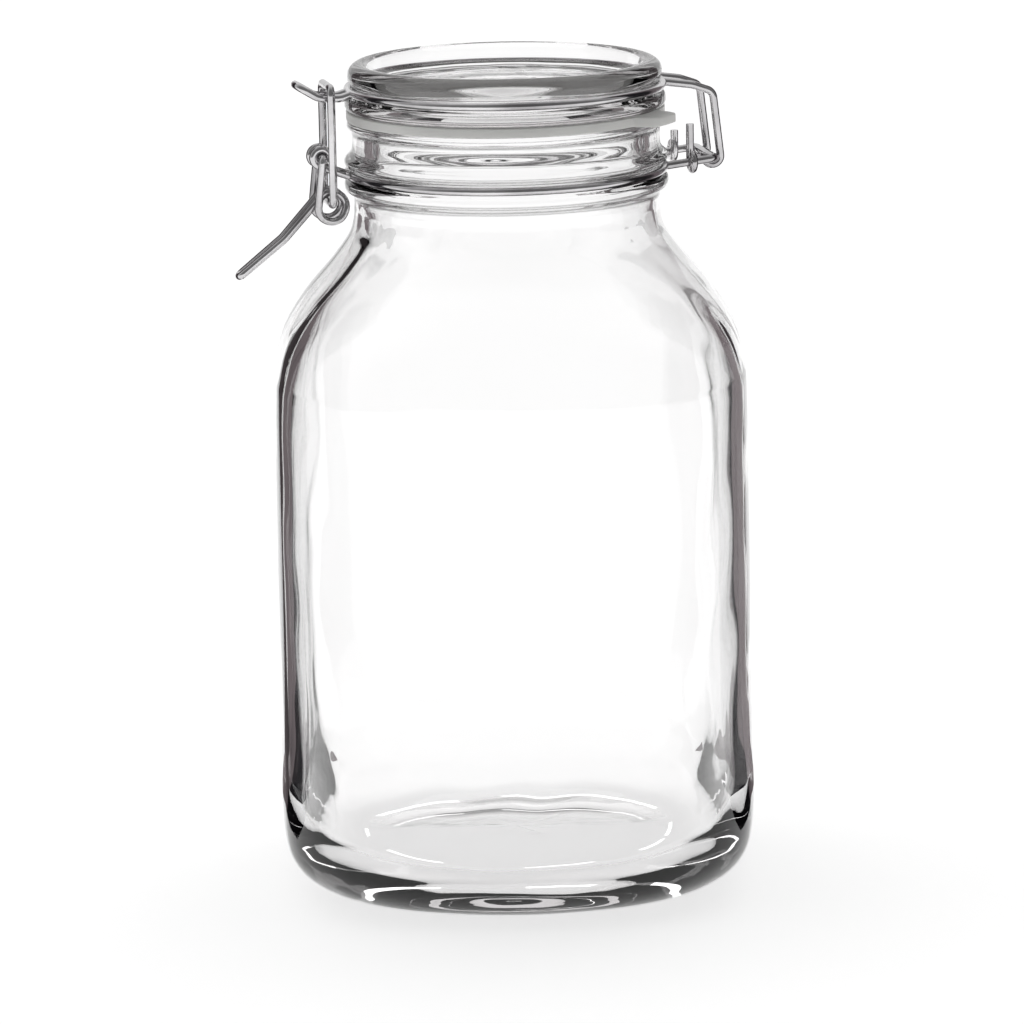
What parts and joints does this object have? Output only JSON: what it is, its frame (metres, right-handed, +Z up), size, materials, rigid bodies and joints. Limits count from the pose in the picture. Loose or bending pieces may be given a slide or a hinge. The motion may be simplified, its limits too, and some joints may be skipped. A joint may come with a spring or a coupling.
{
  "type": "bail clamp jar",
  "caption": "Square-bodied glass storage jar with round neck, glass lid, rubber seal and bent-wire bail clamp with a rear wire hinge.",
  "frame": {"origin": "centre of the jar's base, on the surface it stands on", "axes": "+Z up along the neck's axis; the latch is at -X and the lid's hinge at +X, so all joint axes run along Y"},
  "size_m": [0.1572, 0.15, 0.2472],
  "materials": {
    "glass": "clear blown glass",
    "lid_glass": "clear pressed glass",
    "seal": "translucent pale rubber",
    "wire": "bright drawn steel wire"
  },
  "bodies": {
    "jar": {"jar_body": "glass", "neck_wire": "wire"},
    "lid": {"glass_lid": "lid_glass", "lid_wire": "wire", "gasket": "seal"},
    "lever": {"lever": "wire"},
    "bail": {"bail": "wire"}
  },
  "joints": [
    {"name": "lid_hinge", "type": "hinge", "parent": "jar", "child": "lid", "pos_m": [0.061, 0, 0.2166], "axis": [0, 1, 0], "range_deg": [0, 180]},
    {"name": "lever_pivot", "type": "hinge", "parent": "jar", "child": "lever", "pos_m": [-0.056, 0, 0.221], "axis": [0, 1, 0], "range_deg": [0, 100]},
    {"name": "bail_pivot", "type": "hinge", "parent": "lever", "child": "bail", "pos_m": [-0.0536, 0, 0.2074], "axis": [0, 1, 0], "range_deg": [-75, 0]}
  ],
  "couplings": [
    {"joint": "bail_pivot", "follows": "lever_pivot", "ratio": -0.75}
  ]
}
